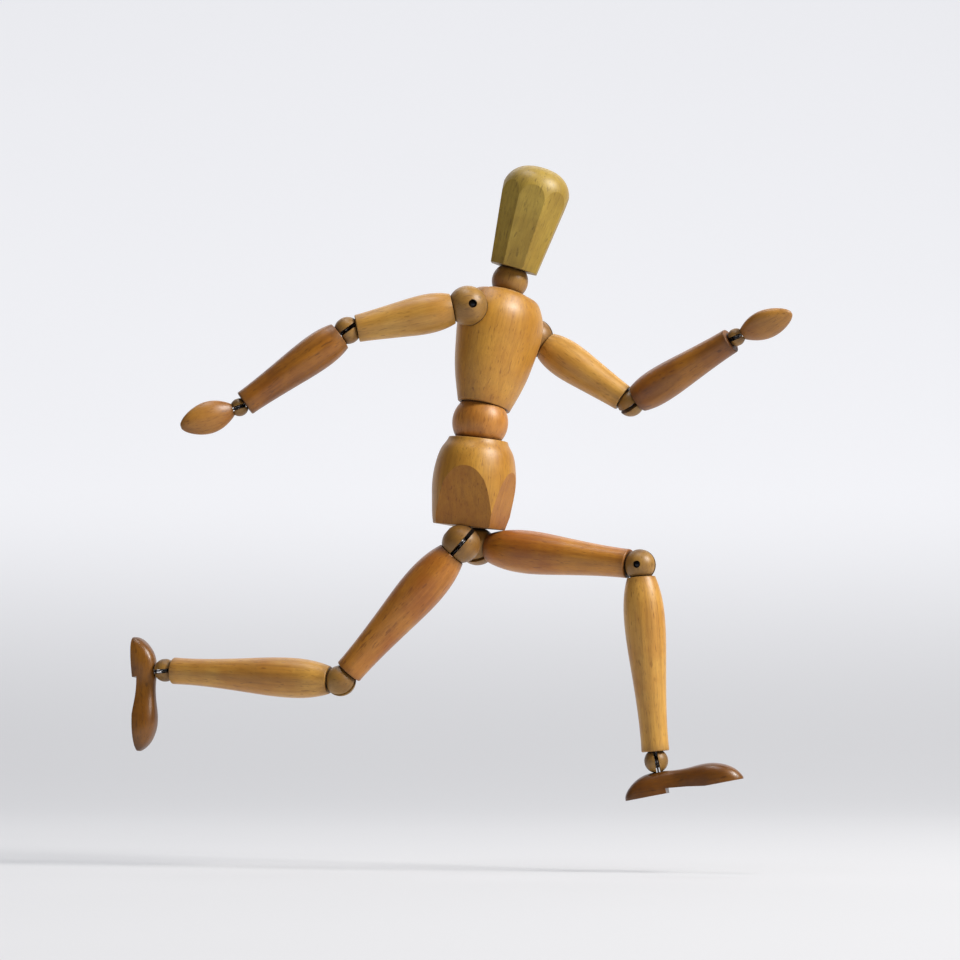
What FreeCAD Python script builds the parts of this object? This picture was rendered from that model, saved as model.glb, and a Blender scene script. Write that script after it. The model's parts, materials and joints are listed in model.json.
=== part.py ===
import FreeCAD
import Part
import math
import os

# Jointed wooden artist mannequin, 300 mm tall when it stands, held in a running pose.
# Millimetres. +X is where the pelvis faces, +Y is the figure's left, +Z is up.
# The origin is the middle of the mouth of the rod socket in the back of the pelvis.

V = FreeCAD.Vector
ORIGIN = V(0, 0, 0)
X = V(1, 0, 0)
Y = V(0, 1, 0)
Z = V(0, 0, 1)

# ---- fits -------------------------------------------------------------------------------
CUP_GAP = 0.12          # between a ball and the cup it turns in
PIN_GAP = 0.02          # between a steel pin and its hole
EDGE_ROUND = 0.45       # sanded edge at the ends of the limbs

# ---- balls ------------------------------------------------------------------------------
NECK_BALL_R = 6.8
WAIST_BALL_R = 10.4
BALL_R = {"shoulder": 7.3, "elbow": 5.0, "wrist": 3.3, "hip": 7.1, "knee": 5.7, "ankle": 4.3}
PIN_R = {"shoulder": 1.5, "elbow": 1.1, "wrist": 0.7, "hip": 1.5, "knee": 1.3, "ankle": 0.9}
RIM_OFFSET = {"shoulder": 5.6, "elbow": 3.5, "wrist": 2.4, "hip": 5.2, "knee": 4.4, "ankle": 3.4}
KERF_WIDTH = 1.5        # saw slot in every limb ball
HOOK_HOLE_R = 0.75      # slanted hole that lets the parent's hook reach the pin

# ---- springs ----------------------------------------------------------------------------
WIRE_R = 0.3
BEND_R = 0.33           # the wire is a little thicker where it is bent sharply
COIL_R = 1.15           # to the middle of the wire
COIL_TURNS = 9
COIL_LOW = 0.30         # start and end of a limb's coil, as a share of the limb's length
COIL_HIGH = 0.68
SHOULDER_COIL_GAP = 3.0
HIP_COIL_GAP = 1.5
LIMB_BORE_R = 1.75
SPINE_COIL_R = 1.9
SPINE_BORE_R = 2.6
SLOT_FLOOR = 0.95        # wood left out below the pin
BLIND_WALL = 1.2         # the pin holes stop this far short of the other side
PIN_SUNK = 0.5
HOOK_SIDE = 0.36        # two hooks share a pin, one each side of the middle of the kerf

# ---- lengths, ball centre to ball centre --------------------------------------------------
UPPER_ARM_LEN = 45.0
FOREARM_LEN = 48.6
THIGH_LEN = 67.4
SHIN_LEN = 70.6

# ---- trunk --------------------------------------------------------------------------------
PELVIS_HEIGHT = 32.6
PELVIS_TOP_R = 10.9
PELVIS_MAX_R = 15.2
PELVIS_BOTTOM_R = 13.7
HIP_HALF_SPAN = 8.0
HIP_DROP = 6.7          # hip balls' centres below the bottom of the pelvis
HIP_FORWARD = 0.6
WAIST_RISE = 6.3        # waist ball's centre above the pelvis and below the chest
CHEST_HEIGHT = 43.6
CHEST_BOTTOM_R = 9.7
CHEST_MAX_R = 15.6
CHEST_FLATTEN = 0.93    # front to back
CHEST_WIDEN = 1.16      # side to side
SHOULDER_HEIGHT = 32.6
SHOULDER_HALF_SPAN = 20.8
NECK_RISE = 4.9
HEAD_HEIGHT = 39.0
HEAD_MAX_R = 12.9
HEAD_CHIN_R = 9.4

# ---- the pose: heading about +Z from straight ahead, then rise above level -----------------
POSE = {
    "right_upper_arm": (-157, -12),
    "right_forearm": (-155, -36),
    "right_hand": (-140, -20),
    "left_upper_arm": (9.5, -35),
    "left_forearm": (-7, 27),
    "left_hand": (-6, 19),
    "right_thigh": (-168, -48),
    "right_shin": (-176, 3.5),
    "right_foot": (-176, 3.5),
    "left_thigh": (-6.5, -7.5),
    "left_shin": (8, -85.5),
    "left_foot": (8, -85.5),
}
TOES = {"right": (-40, -84), "left": (10, 11)}
PELVIS_LEAN = 6.2       # forward
CHEST_AXIS = (41, 77.6)
CHEST_LEFT = (74, -8)
HEAD_AXIS = (5, 73)
HEAD_FACING = -49.5

# ---- small helpers -------------------------------------------------------------------------
def pointing(heading, rise):
    """Unit vector from a heading about +Z and a rise above level, in degrees."""
    h = math.radians(heading)
    r = math.radians(rise)
    return V(math.cos(r) * math.cos(h), math.cos(r) * math.sin(h), math.sin(r))


def placed(origin, z_dir, y_hint):
    """Placement whose own Z lies along z_dir and whose own Y is as near y_hint as it can be."""
    z = V(z_dir).normalize()
    y = V(y_hint) - z * z.dot(y_hint)
    y.normalize()
    x = y.cross(z)
    matrix = FreeCAD.Matrix(
        x.x, y.x, z.x, origin.x,
        x.y, y.y, z.y, origin.y,
        x.z, y.z, z.z, origin.z,
        0, 0, 0, 1)
    return FreeCAD.Placement(matrix)


def moved(shape, placement):
    copy = shape.copy()
    copy.Placement = placement.multiply(copy.Placement)
    return copy


def turned(outline_edges):
    """Solid turned on a lathe about Z from an outline in the XZ plane."""
    face = Part.Face(Part.Wire(outline_edges))
    return face.revolve(ORIGIN, Z, 360)


def curve_through(points):
    spline = Part.BSplineCurve()
    spline.interpolate([V(r, 0, z) for r, z in points])
    return spline.toShape()


def corner(start, middle, end):
    return Part.Arc(V(start[0], 0, start[1]), V(middle[0], 0, middle[1]), V(end[0], 0, end[1])).toShape()


def line(a, b):
    return Part.makeLine(V(a[0], 0, a[1]), V(b[0], 0, b[1]))


def barrel(stations, edge):
    """Turned blank with flat ends and sanded edges; stations are (radius, height), low to high."""
    low_r, low_z = stations[0]
    top_r, top_z = stations[-1]
    bite = edge * (1 - math.sqrt(0.5))
    side = [(low_r, low_z + edge)] + stations[1:-1] + [(top_r, top_z - edge)]
    edges = [
        line((0, low_z), (low_r - edge, low_z)),
        corner((low_r - edge, low_z), (low_r - bite, low_z + bite), (low_r, low_z + edge)),
        curve_through(side),
        corner((top_r, top_z - edge), (top_r - bite, top_z - bite), (top_r - edge, top_z)),
        line((top_r - edge, top_z), (0, top_z)),
        line((0, top_z), (0, low_z)),
    ]
    return turned(edges)


def sanded(stations):
    """Adds the rings of a rounded edge at both ends of a blank."""
    low_r, low_z = stations[0]
    top_r, top_z = stations[-1]
    bite = EDGE_ROUND * (1 - math.sqrt(0.5))
    low = [(low_r - EDGE_ROUND, low_z), (low_r - bite, low_z + bite), (low_r, low_z + EDGE_ROUND)]
    high = [(top_r, top_z - EDGE_ROUND), (top_r - bite, top_z - bite), (top_r - EDGE_ROUND, top_z)]
    return low + stations[1:-1] + high


def oval_blank(rings, x_scale, y_scale):
    """Smooth blank through oval rings; each ring is (radius, height) before the two scales."""
    wires = []
    for radius, height in rings:
        centre = V(0, 0, height)
        on_x = V(radius * x_scale, 0, height)
        on_y = V(0, radius * y_scale, height)
        oval = Part.Ellipse(on_y, on_x * -1 + centre * 2, centre)
        wires.append(Part.Wire(oval.toShape()))
    return Part.makeLoft(wires, True, False)


def drill(radius, start, end):
    axis = end - start
    return Part.makeCylinder(radius, axis.Length, start, axis)


def socket_for(radius, centre):
    return Part.makeSphere(radius + CUP_GAP, centre)


def planed_off(distance, slope_deg, heading_deg, height):
    """Block that planes a facet: it leaves `distance` from the axis at the bottom and more above."""
    size = 4 * height
    block = Part.makeBox(size, size, size, V(0, -size / 2, -size / 2))
    block.rotate(ORIGIN, Y, slope_deg)
    block.translate(V(distance, 0, 0))
    block.rotate(ORIGIN, Z, heading_deg)
    return block


# ---- steel ---------------------------------------------------------------------------------
def rod(a, b, radius):
    return Part.makeCylinder(radius, (b - a).Length, a, b - a)


def ring_radius(pin_radius):
    return pin_radius + WIRE_R + 0.15


def hook_loop(centre, axis, pin_radius):
    """Closed hook around a pin; returns the ring and the radius its wire follows."""
    ring_r = ring_radius(pin_radius)
    return Part.makeTorus(ring_r, WIRE_R, centre, axis), ring_r


def wire_tail(hook_centre, hook_axis, pin_radius, target):
    """Ring round a pin with a straight tail to the target point."""
    ring, ring_r = hook_loop(hook_centre, hook_axis, pin_radius)
    towards = target - hook_centre
    towards = towards - hook_axis * towards.dot(hook_axis)
    towards.normalize()
    start = hook_centre + towards * ring_r
    return [ring, rod(start, target, WIRE_R), Part.makeSphere(BEND_R, target)]


def coil(low, high, radius, turns):
    """Close-wound wire about Z between two heights, tails ending on the axis."""
    height = high - low
    helix = Part.makeHelix(height / turns, height, radius)
    rise = height / turns / (2 * math.pi * radius)
    tangent = V(0, 1, rise)
    section = Part.Wire(Part.makeCircle(WIRE_R, V(radius, 0, 0), tangent))
    body = Part.Wire(helix).makePipeShell([section], True, True)
    body.translate(V(0, 0, low))
    pieces = [body]
    for height_at, step in ((low, -1), (high, 1)):
        turn_in = V(radius, 0, height_at)
        centre = V(0, 0, height_at + step * radius)
        pieces.append(Part.makeSphere(BEND_R, turn_in))
        pieces.append(rod(turn_in, centre, WIRE_R))
        pieces.append(Part.makeSphere(BEND_R, centre))
    return pieces


def spring(hook_a, hook_b, coil_low, coil_high, radius=COIL_R, turns=COIL_TURNS):
    """Tension spring along Z. Each hook is (centre, pin axis, pin radius)."""
    pieces = coil(coil_low, coil_high, radius, turns)
    pieces += wire_tail(hook_a[0], hook_a[1], hook_a[2], V(0, 0, coil_low - radius))
    pieces += wire_tail(hook_b[0], hook_b[1], hook_b[2], V(0, 0, coil_high + radius))
    return pieces[0].fuse(pieces[1:])


def domed_pin(radius, low, high):
    """Steel pin along Y between two ends, each slightly domed."""
    dome = radius * 0.35
    cap_r = (radius ** 2 + dome ** 2) / (2 * dome)
    body = rod(V(0, low + dome, 0), V(0, high - dome, 0), radius)
    low_cap = Part.makeSphere(cap_r, V(0, low + cap_r, 0))
    high_cap = Part.makeSphere(cap_r, V(0, high - cap_r, 0))
    low_end = low_cap.common(rod(V(0, low, 0), V(0, low + dome, 0), radius))
    high_end = high_cap.common(rod(V(0, high - dome, 0), V(0, high, 0), radius))
    return body.fuse([low_end, high_end])


# ---- ball joints ---------------------------------------------------------------------------
def pin_ends(kind, pin_side, pin_back):
    """Low and high end of a ball's pin hole along Y; it is blind on the side away from pin_side."""
    mouth = math.sqrt(BALL_R[kind] ** 2 - (pin_back + PIN_R[kind]) ** 2)
    ends = (-mouth + BLIND_WALL, mouth)
    if pin_side < 0:
        ends = (-mouth, mouth - BLIND_WALL)
    return ends


def limb_ball(kind, parent_dir, flex, pin_side, pin_back, hook_side):
    """Drilled and sawn ball. Its own Z points to the child, Y along the pin, X to the open side."""
    r = BALL_R[kind]
    pin_r = PIN_R[kind]
    ball = Part.makeSphere(r)
    floor = pin_r + SLOT_FLOOR
    reach = r + 1
    saw = Part.makeBox(floor + reach, KERF_WIDTH, 2 * reach, V(-floor, -KERF_WIDTH / 2, -reach))
    sweep = Part.makeBox(floor + reach, KERF_WIDTH, reach, V(-floor, -KERF_WIDTH / 2, 0))
    sweep.rotate(ORIGIN, Y, -flex)
    low, high = pin_ends(kind, pin_side, pin_back)
    if pin_side > 0:
        high = reach
    else:
        low = -reach
    pin_hole = drill(pin_r + PIN_GAP, V(0, low, -pin_back), V(0, high, -pin_back))
    out = V(parent_dir.x, 0, parent_dir.z).normalize()
    hook_start = V(0, hook_side, -pin_back) + out * ring_radius(pin_r)
    hook_end = V(parent_dir).normalize() * HOOK_REACH[kind]
    hook_hole = drill(HOOK_HOLE_R, hook_start, hook_end)
    return ball.cut([saw, sweep, pin_hole, hook_hole])


def ball_pin(kind, pin_side, pin_back):
    """Pin whose head sits a little inside the mouth of its hole."""
    low, high = pin_ends(kind, pin_side, pin_back)
    if pin_side > 0:
        high -= PIN_SUNK
    else:
        low += PIN_SUNK
    pin = domed_pin(PIN_R[kind], low + PIN_GAP, high - PIN_GAP)
    pin.translate(V(0, 0, -pin_back))
    return pin


def spine_ball(radius):
    """Ball of the neck or waist, drilled through for its spring."""
    ball = Part.makeSphere(radius)
    return ball.cut(drill(SPINE_BORE_R, V(0, 0, -radius - 1), V(0, 0, radius + 1)))


# ---- limbs ---------------------------------------------------------------------------------
# for each: radius at the upper rim, widest radius and where, waist radius and where, lower rim
LIMB_SHAPE = {
    "upper_arm": (5.7, 7.25, 0.30, 5.9, 0.72, 5.05),
    "forearm": (5.45, 6.7, 0.25, 5.15, 0.78, 4.75),
    "thigh": (5.5, 7.95, 0.29, 5.85, 0.76, 5.3),
    "shin": (5.25, 7.4, 0.26, 5.2, 0.78, 5.0),
}


def turned_limb(name, length, upper, lower):
    """Turned limb along Z, from the upper ball's centre at 0 to the lower ball's at length."""
    top_r, max_r, max_at, slim_r, slim_at, end_r = LIMB_SHAPE[name]
    start = RIM_OFFSET[upper]
    end = length - RIM_OFFSET[lower]
    run = end - start
    stations = [
        (top_r, start),
        (top_r + 0.72 * (max_r - top_r), start + 0.42 * max_at * run),
        (max_r, start + max_at * run),
        (0.5 * (max_r + slim_r) + 0.1, start + 0.5 * (max_at + slim_at) * run),
        (slim_r, start + slim_at * run),
        (end_r, end),
    ]
    wood = barrel(stations, EDGE_ROUND)
    cuts = [
        socket_for(BALL_R[upper], ORIGIN),
        socket_for(BALL_R[lower], V(0, 0, length)),
        drill(LIMB_BORE_R, ORIGIN, V(0, 0, length)),
    ]
    return wood.cut(cuts)


# where the tail of the parent's spring ends, from each ball's centre
HOOK_REACH = {
    "shoulder": BALL_R["shoulder"] + SHOULDER_COIL_GAP - COIL_R,
    "elbow": (1 - COIL_HIGH) * UPPER_ARM_LEN - COIL_R,
    "wrist": (1 - COIL_HIGH) * FOREARM_LEN - COIL_R,
    "hip": BALL_R["hip"] + HIP_COIL_GAP - COIL_R,
    "knee": (1 - COIL_HIGH) * THIGH_LEN - COIL_R,
    "ankle": (1 - COIL_HIGH) * SHIN_LEN - COIL_R,
}


# ---- hands and feet -------------------------------------------------------------------------
HAND_FLATTEN = 0.62     # thickness over width
PEG_HOLE_R = 0.32
HAND_HOLE_DEPTH = 12.0
PEG_DEPTH = {"hand": 11.0, "foot": 8.4}     # how deep the hooks' stems go
FOOT_STEP_AT = 15.4     # heel block's front edge, from the back of the heel
FOOT_STEP = 1.8
ARCH_END = 29.5
ANKLE_FROM_HEEL = 13.5
ANKLE_ABOVE_SOLE = 12.0
FOOT_HOLE_DEPTH = 9.0
DOME_FULLNESS = 0.8     # 1 is a plain half ellipse, less is squarer


def almond_hand():
    """Flattened almond from the wrist ball's centre at 0; broad across Y, thin across X."""
    rings = [
        (2.0, RIM_OFFSET["wrist"]), (3.7, 4.8), (5.3, 8.4), (5.85, 12.2), (5.1, 16.7), (3.4, 20.4),
        (2.0, 22.2), (0.9, 23.0)]
    cuts = [
        socket_for(BALL_R["wrist"], ORIGIN),
        drill(PEG_HOLE_R, ORIGIN, V(0, 0, HAND_HOLE_DEPTH)),
    ]
    return oval_blank(rings, HAND_FLATTEN, 1).cut(cuts)


def foot_section(x, half_width, height):
    """Flat sole and a full domed top, as a wire across the foot."""
    points = []
    steps = 12
    for i in range(steps + 1):
        t = math.pi * i / steps
        across = math.copysign(abs(math.cos(t)) ** DOME_FULLNESS, math.cos(t))
        points.append(V(x, half_width * across, height * math.sin(t) ** DOME_FULLNESS))
    points[0].z = 0
    points[-1].z = 0
    dome = Part.BSplineCurve()
    dome.interpolate(points)
    return Part.Wire([dome.toShape(), Part.makeLine(points[-1], points[0])])


def carved_foot():
    """Heel block with a step, slim instep and domed toe; ankle ball's centre at 0, toes to +X."""
    stations = [
        (0.1, 1.7, 1.2), (1.1, 3.3, 3.2), (3.4, 4.5, 5.4), (7.0, 4.9, 7.4), (11.0, 4.7, 8.1),
        (15.0, 4.1, 8.0), (19.0, 3.7, 7.6), (24.0, 4.3, 7.5), (29.0, 5.2, 7.8), (33.5, 5.6, 7.5),
        (37.5, 5.2, 6.2), (40.6, 4.0, 4.2), (42.4, 2.4, 2.0), (43.0, 1.4, 0.9),
    ]
    wood = Part.makeLoft([foot_section(x, w, h) for x, w, h in stations], True, False)
    bench = Part.makeBox(80, 40, 10, V(-20, -20, -10))
    arch = Part.Face(Part.makePolygon([
        V(FOOT_STEP_AT, -9, -1), V(FOOT_STEP_AT, -9, FOOT_STEP), V(23, -9, 1.0),
        V(ARCH_END, -9, 0), V(ARCH_END, -9, -1), V(FOOT_STEP_AT, -9, -1)])).extrude(Y * 18)
    wood = wood.cut([bench, arch])
    wood.translate(V(-ANKLE_FROM_HEEL, 0, -ANKLE_ABOVE_SOLE))
    cuts = [
        socket_for(BALL_R["ankle"], ORIGIN),
        drill(PEG_HOLE_R, ORIGIN, V(0, 0, -FOOT_HOLE_DEPTH)),
    ]
    return wood.cut(cuts)


def peg_hook(kind, depth, hook_side):
    """Hook round a ball's pin, its stem glued into a blind hole along Z."""
    bend = V(0, 0, PIN_R[kind] + 1.7)
    pieces = wire_tail(Y * hook_side, Y, PIN_R[kind], bend)
    stem = rod(bend, V(0, 0, depth), WIRE_R)
    return stem.fuse(pieces)


# ---- trunk ----------------------------------------------------------------------------------
PELVIS_SIDE_FACET = 9.8      # side planes: distance from the axis at the bottom, and their slope
PELVIS_SIDE_SLOPE = 17.0
PELVIS_SIDE_TURN = 11.0      # the side planes face a little forward
PELVIS_FRONT_FACET = 10.9
PELVIS_FRONT_SLOPE = 10.5
PELVIS_WIDEN = 1.12
SOCKET_R = 2.0
SOCKET_DEPTH = 8.0
SOCKET_HEIGHT = 7.0
ANCHOR_R = 0.8
HIP_ANCHOR_HEIGHT = 15.0
WAIST_ANCHOR_LOW = 19.0      # in the pelvis
WAIST_ANCHOR_HIGH = 23.0     # in the chest
NECK_ANCHOR_LOW = 38.0       # in the chest
NECK_ANCHOR_HIGH = 23.0      # in the head
CHEST_BACK_LOW = 13.7        # axis to skin at the two anchors' heights
CHEST_BACK_HIGH = 13.0
HEAD_BACK = 12.2
HEAD_FACETS = 8
HEAD_FACET_CHIN = 8.7
HEAD_FACET_SLOPE = 7.0


def pelvis_wood():
    top = PELVIS_HEIGHT
    wood = oval_blank(sanded([
        (PELVIS_BOTTOM_R, 0), (14.6, 7.0), (PELVIS_MAX_R, 15.6), (14.4, 23.9), (12.7, 29.0),
        (PELVIS_TOP_R, top)]), 1, PELVIS_WIDEN)
    cuts = []
    for heading in (90 - PELVIS_SIDE_TURN, PELVIS_SIDE_TURN - 90):
        cuts.append(planed_off(PELVIS_SIDE_FACET, PELVIS_SIDE_SLOPE, heading, top))
    for heading in (0, 180):
        cuts.append(planed_off(PELVIS_FRONT_FACET, PELVIS_FRONT_SLOPE, heading, top))
    cuts.append(socket_for(WAIST_BALL_R, V(0, 0, top + WAIST_RISE)))
    cuts.append(drill(SPINE_BORE_R, V(0, 0, WAIST_ANCHOR_LOW - 2.5), V(0, 0, top)))
    pin_hole = ANCHOR_R + PIN_GAP
    back = V(-2 * PELVIS_MAX_R, 0, WAIST_ANCHOR_LOW)
    cuts.append(drill(pin_hole, back, V(SPINE_BORE_R + 2, 0, WAIST_ANCHOR_LOW)))
    left = V(HIP_FORWARD, 2 * PELVIS_MAX_R, HIP_ANCHOR_HEIGHT)
    cuts.append(drill(pin_hole, left, V(HIP_FORWARD, -HIP_HALF_SPAN - 3, HIP_ANCHOR_HEIGHT)))
    for side in (-1, 1):
        foot_of_bore = V(HIP_FORWARD, side * HIP_HALF_SPAN, -HIP_DROP)
        head_of_bore = V(HIP_FORWARD, side * HIP_HALF_SPAN, HIP_ANCHOR_HEIGHT + 2)
        cuts.append(socket_for(BALL_R["hip"], foot_of_bore))
        cuts.append(drill(LIMB_BORE_R, foot_of_bore, head_of_bore))
    inward = level_in_pelvis()
    cuts.append(drill(SOCKET_R, SOCKET_MOUTH - inward * 3, SOCKET_MOUTH + inward * SOCKET_DEPTH))
    return wood.cut(cuts)


def level_in_pelvis():
    """Row +X seen in the pelvis's own frame: the rod socket is drilled level in the pose."""
    lean = math.radians(PELVIS_LEAN)
    return V(math.cos(lean), 0, math.sin(lean))


SOCKET_MOUTH = V(
    -PELVIS_FRONT_FACET - SOCKET_HEIGHT * math.tan(math.radians(PELVIS_FRONT_SLOPE)),
    0, SOCKET_HEIGHT)


def chest_wood():
    top = CHEST_HEIGHT
    wood = oval_blank(sanded([
        (CHEST_BOTTOM_R, 0), (11.9, 7.4), (13.7, 14.8), (14.8, 22.0), (CHEST_MAX_R, 29.5),
        (15.1, 35.2), (13.5, 39.4), (10.8, 42.5), (8.2, top)]), CHEST_FLATTEN, CHEST_WIDEN)
    waist = V(0, 0, -WAIST_RISE)
    neck = V(0, 0, top + NECK_RISE)
    right = V(0, -SHOULDER_HALF_SPAN, SHOULDER_HEIGHT)
    left = V(0, SHOULDER_HALF_SPAN, SHOULDER_HEIGHT)
    pin_hole = ANCHOR_R + PIN_GAP
    cuts = [
        socket_for(WAIST_BALL_R, waist),
        socket_for(NECK_BALL_R, neck),
        socket_for(BALL_R["shoulder"], right),
        socket_for(BALL_R["shoulder"], left),
        drill(LIMB_BORE_R, right, left),
        drill(SPINE_BORE_R, waist, V(0, 0, WAIST_ANCHOR_HIGH + 2.5)),
        drill(LIMB_BORE_R, V(0, 0, NECK_ANCHOR_LOW - 2), neck),
    ]
    for height in (WAIST_ANCHOR_HIGH, NECK_ANCHOR_LOW):
        back = V(-2 * CHEST_MAX_R, 0, height)
        cuts.append(drill(pin_hole, back, V(SPINE_BORE_R + 2, 0, height)))
    return wood.cut(cuts)


def head_wood():
    top = HEAD_HEIGHT
    side = [
        (HEAD_CHIN_R + 0.5, EDGE_ROUND), (11.0, 9.0), (12.1, 18.0), (HEAD_MAX_R, 27.0),
        (11.9, 33.0), (8.6, 37.0), (4.0, 38.8), (0, top)]
    chin = HEAD_CHIN_R + 0.5 - EDGE_ROUND
    wood = turned([
        line((0, 0), (chin, 0)),
        corner((chin, 0), (chin + 0.7 * EDGE_ROUND, 0.3 * EDGE_ROUND), side[0]),
        curve_through(side),
        line((0, top), (0, 0))])
    cuts = []
    for i in range(HEAD_FACETS):
        heading = (i + 0.5) * 360.0 / HEAD_FACETS
        cuts.append(planed_off(HEAD_FACET_CHIN, HEAD_FACET_SLOPE, heading, top))
    cuts.append(socket_for(NECK_BALL_R, V(0, 0, -NECK_RISE)))
    cuts.append(drill(SPINE_BORE_R, V(0, 0, -NECK_RISE), V(0, 0, NECK_ANCHOR_HIGH + 2.5)))
    back = V(-2 * HEAD_MAX_R, 0, NECK_ANCHOR_HIGH)
    cuts.append(drill(ANCHOR_R + PIN_GAP, back, V(SPINE_BORE_R + 2, 0, NECK_ANCHOR_HIGH)))
    return wood.cut(cuts)


def anchor_from_back(skin, height):
    """Steel pin across a bore, driven in from the back face and sunk a little under its skin."""
    return rod(V(PIN_SUNK - skin, 0, height), V(SPINE_BORE_R + 1.8, 0, height), ANCHOR_R)


def pelvis_anchors():
    """Two crossing pins: one holds the waist spring, the longer one both hip springs."""
    back = PELVIS_FRONT_FACET + WAIST_ANCHOR_LOW * math.tan(math.radians(PELVIS_FRONT_SLOPE))
    side = PELVIS_SIDE_FACET + HIP_ANCHOR_HEIGHT * math.tan(math.radians(PELVIS_SIDE_SLOPE))
    hip_pin = rod(
        V(HIP_FORWARD, -HIP_HALF_SPAN - 2.8, HIP_ANCHOR_HEIGHT),
        V(HIP_FORWARD, side - PIN_SUNK, HIP_ANCHOR_HEIGHT), ANCHOR_R)
    return Part.makeCompound([anchor_from_back(back, WAIST_ANCHOR_LOW), hip_pin])


def chest_anchors():
    """Pins for the waist spring and, higher up, the neck spring."""
    low = anchor_from_back(CHEST_BACK_LOW, WAIST_ANCHOR_HIGH)
    high = anchor_from_back(CHEST_BACK_HIGH, NECK_ANCHOR_LOW)
    return Part.makeCompound([low, high])


def head_anchor():
    return anchor_from_back(HEAD_BACK, NECK_ANCHOR_HIGH)


# ---- where everything stands in the pose ------------------------------------------------------
TOWARDS_VIEWER = pointing(-68, -5)   # the side that the figure shows: its front right
VIEW_RIGHT = pointing(22, 0)
VIEW_UP = VIEW_RIGHT.cross(TOWARDS_VIEWER) * -1

# for each ball: the side that its saw slot opens to, how far the limb can fold that closes it,
# the side that its pin is driven in from (1 is the ball's own +Y), and how far off centre
BALL_SETTING = {
    "right_shoulder": (VIEW_UP, 20, -1, 1.7),
    "left_shoulder": (VIEW_UP, 20, 1, 1.7),
    "right_elbow": (TOWARDS_VIEWER, 35, 1, 0),
    "left_elbow": (TOWARDS_VIEWER - VIEW_UP * 0.4, 5, 1, 0),
    "right_wrist": (TOWARDS_VIEWER, 35, 1, 0),
    "left_wrist": (TOWARDS_VIEWER, 35, 1, 0),
    "right_hip": (TOWARDS_VIEWER, 20, 1, 0),
    "left_hip": (TOWARDS_VIEWER - VIEW_UP, 20, 1, 0),
    "right_knee": (TOWARDS_VIEWER * 0.5 - VIEW_UP, 35, -1, 0),
    "left_knee": (VIEW_RIGHT + TOWARDS_VIEWER * 0.3, 5, 1, 0),
    "right_ankle": (TOWARDS_VIEWER, 30, 1, 0),
    "left_ankle": (TOWARDS_VIEWER, 30, 1, 0),
}
PALM_EDGE = {"right": VIEW_UP, "left": VIEW_UP + TOWARDS_VIEWER * 0.8}
LIMB_LENGTH = {
    "upper_arm": UPPER_ARM_LEN,
    "forearm": FOREARM_LEN,
    "thigh": THIGH_LEN,
    "shin": SHIN_LEN,
}
ARM = ("shoulder", "upper_arm", "elbow", "forearm", "wrist", "hand")
LEG = ("hip", "thigh", "knee", "shin", "ankle", "foot")


def ball_frame(centre, child_dir, slot_side):
    return placed(centre, child_dir, V(child_dir).cross(slot_side))


def into(placement, direction):
    """A direction of the row seen in the frame of a piece."""
    return placement.Rotation.inverted().multVec(direction)


def trunk_frames():
    frames = {}
    lean = math.radians(PELVIS_LEAN)
    pelvis_up = V(math.sin(lean), 0, math.cos(lean))
    pelvis = placed(ORIGIN, pelvis_up, Y)
    pelvis.Base = pelvis.Rotation.multVec(SOCKET_MOUTH) * -1
    frames["pelvis"] = pelvis
    waist = pelvis.multVec(V(0, 0, PELVIS_HEIGHT + WAIST_RISE))
    chest_up = pointing(*CHEST_AXIS)
    chest_left = pointing(*CHEST_LEFT)
    frames["waist_ball"] = placed(waist, pelvis_up + chest_up, Y)
    frames["chest"] = placed(waist + chest_up * WAIST_RISE, chest_up, chest_left)
    neck = frames["chest"].multVec(V(0, 0, CHEST_HEIGHT + NECK_RISE))
    head_up = pointing(*HEAD_AXIS)
    frames["neck_ball"] = placed(neck, chest_up + head_up, chest_left)
    frames["head"] = placed(neck + head_up * NECK_RISE, head_up, pointing(HEAD_FACING + 90, 0))
    return frames


def limb_frames(side, chain, frames):
    """Frames of three balls and three limbs, from the trunk outwards."""
    top, first, middle, second, low, tip = chain
    sign = 1 if side == "left" else -1
    if top == "shoulder":
        centre = frames["chest"].multVec(V(0, sign * SHOULDER_HALF_SPAN, SHOULDER_HEIGHT))
        frames[side + "_shoulder_parent"] = frames["chest"].Rotation.multVec(Y) * -sign
    else:
        centre = frames["pelvis"].multVec(V(HIP_FORWARD, sign * HIP_HALF_SPAN, -HIP_DROP))
        frames[side + "_hip_parent"] = frames["pelvis"].Rotation.multVec(Z)
    for ball, limb, next_ball in ((top, first, middle), (middle, second, low)):
        along = pointing(*POSE[side + "_" + limb])
        frames[side + "_" + next_ball + "_parent"] = along * -1
        frame = ball_frame(centre, along, BALL_SETTING[side + "_" + ball][0])
        frames[side + "_" + ball + "_ball"] = frame
        frames[side + "_" + limb] = frame
        centre = centre + along * LIMB_LENGTH[limb]
    along = pointing(*POSE[side + "_" + tip])
    if tip == "hand":
        frames[side + "_hand"] = placed(centre, along, PALM_EDGE[side])
    else:
        toes = pointing(*TOES[side])
        along = (along - toes * along.dot(toes)).normalize()
        frames[side + "_foot"] = placed(centre, along * -1, toes.cross(along))
    frames[side + "_" + low + "_ball"] = ball_frame(
        centre, along, BALL_SETTING[side + "_" + low][0])


def hook_side_of(ball, frames):
    """Side of the slot where the parent's hook sits; the child's hook takes the other one."""
    leans = into(frames[ball + "_ball"], frames[ball + "_parent"]).y
    return HOOK_SIDE if leans > 0 else -HOOK_SIDE


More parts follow.
